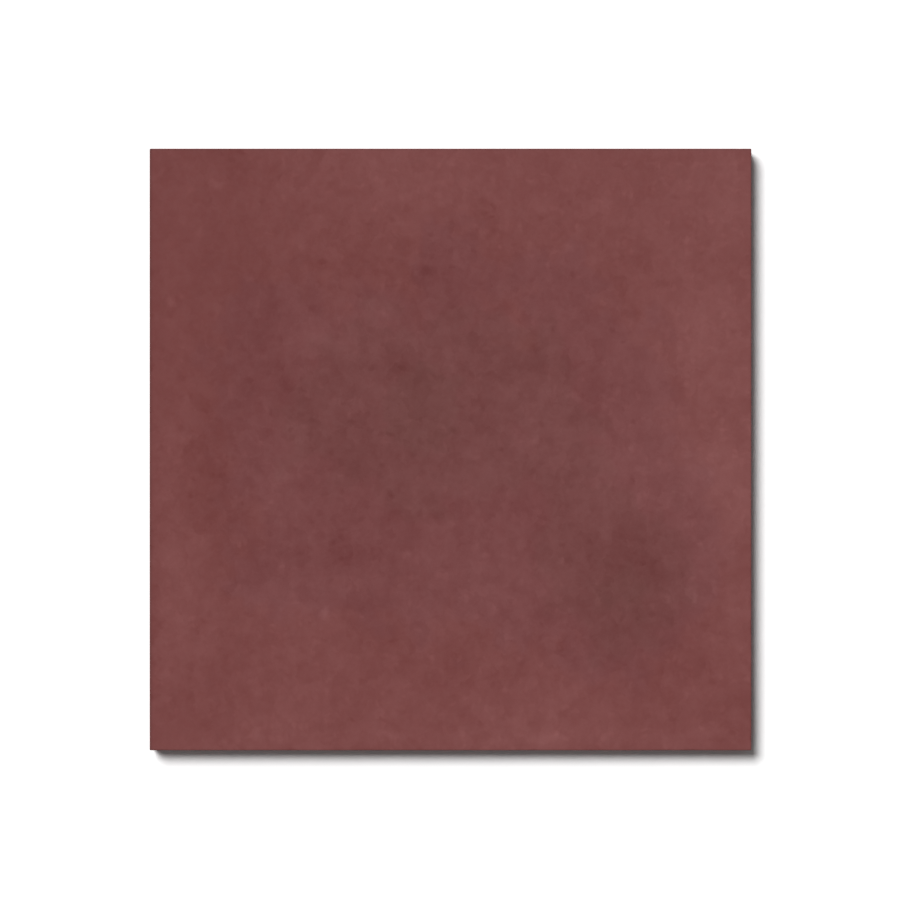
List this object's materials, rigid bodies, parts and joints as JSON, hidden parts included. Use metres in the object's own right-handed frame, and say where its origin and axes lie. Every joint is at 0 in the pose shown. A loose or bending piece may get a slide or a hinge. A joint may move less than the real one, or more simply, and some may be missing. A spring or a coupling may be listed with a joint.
{
  "type": "floor tile",
  "caption": "Square matt floor tile of through-coloured stoneware, with a flat mottled face, softened edges and a shallow keyed back for adhesive.",
  "frame": {"origin": "middle of the back, in the plane of the back's ribs, which the tile rests on", "axes": "+Z out of the face, +X and +Y along the edges"},
  "size_m": [0.2, 0.2, 0.009],
  "materials": {
    "tile": "matte"
  },
  "bodies": {
    "root": {"tile": "tile"}
  },
  "joints": []
}
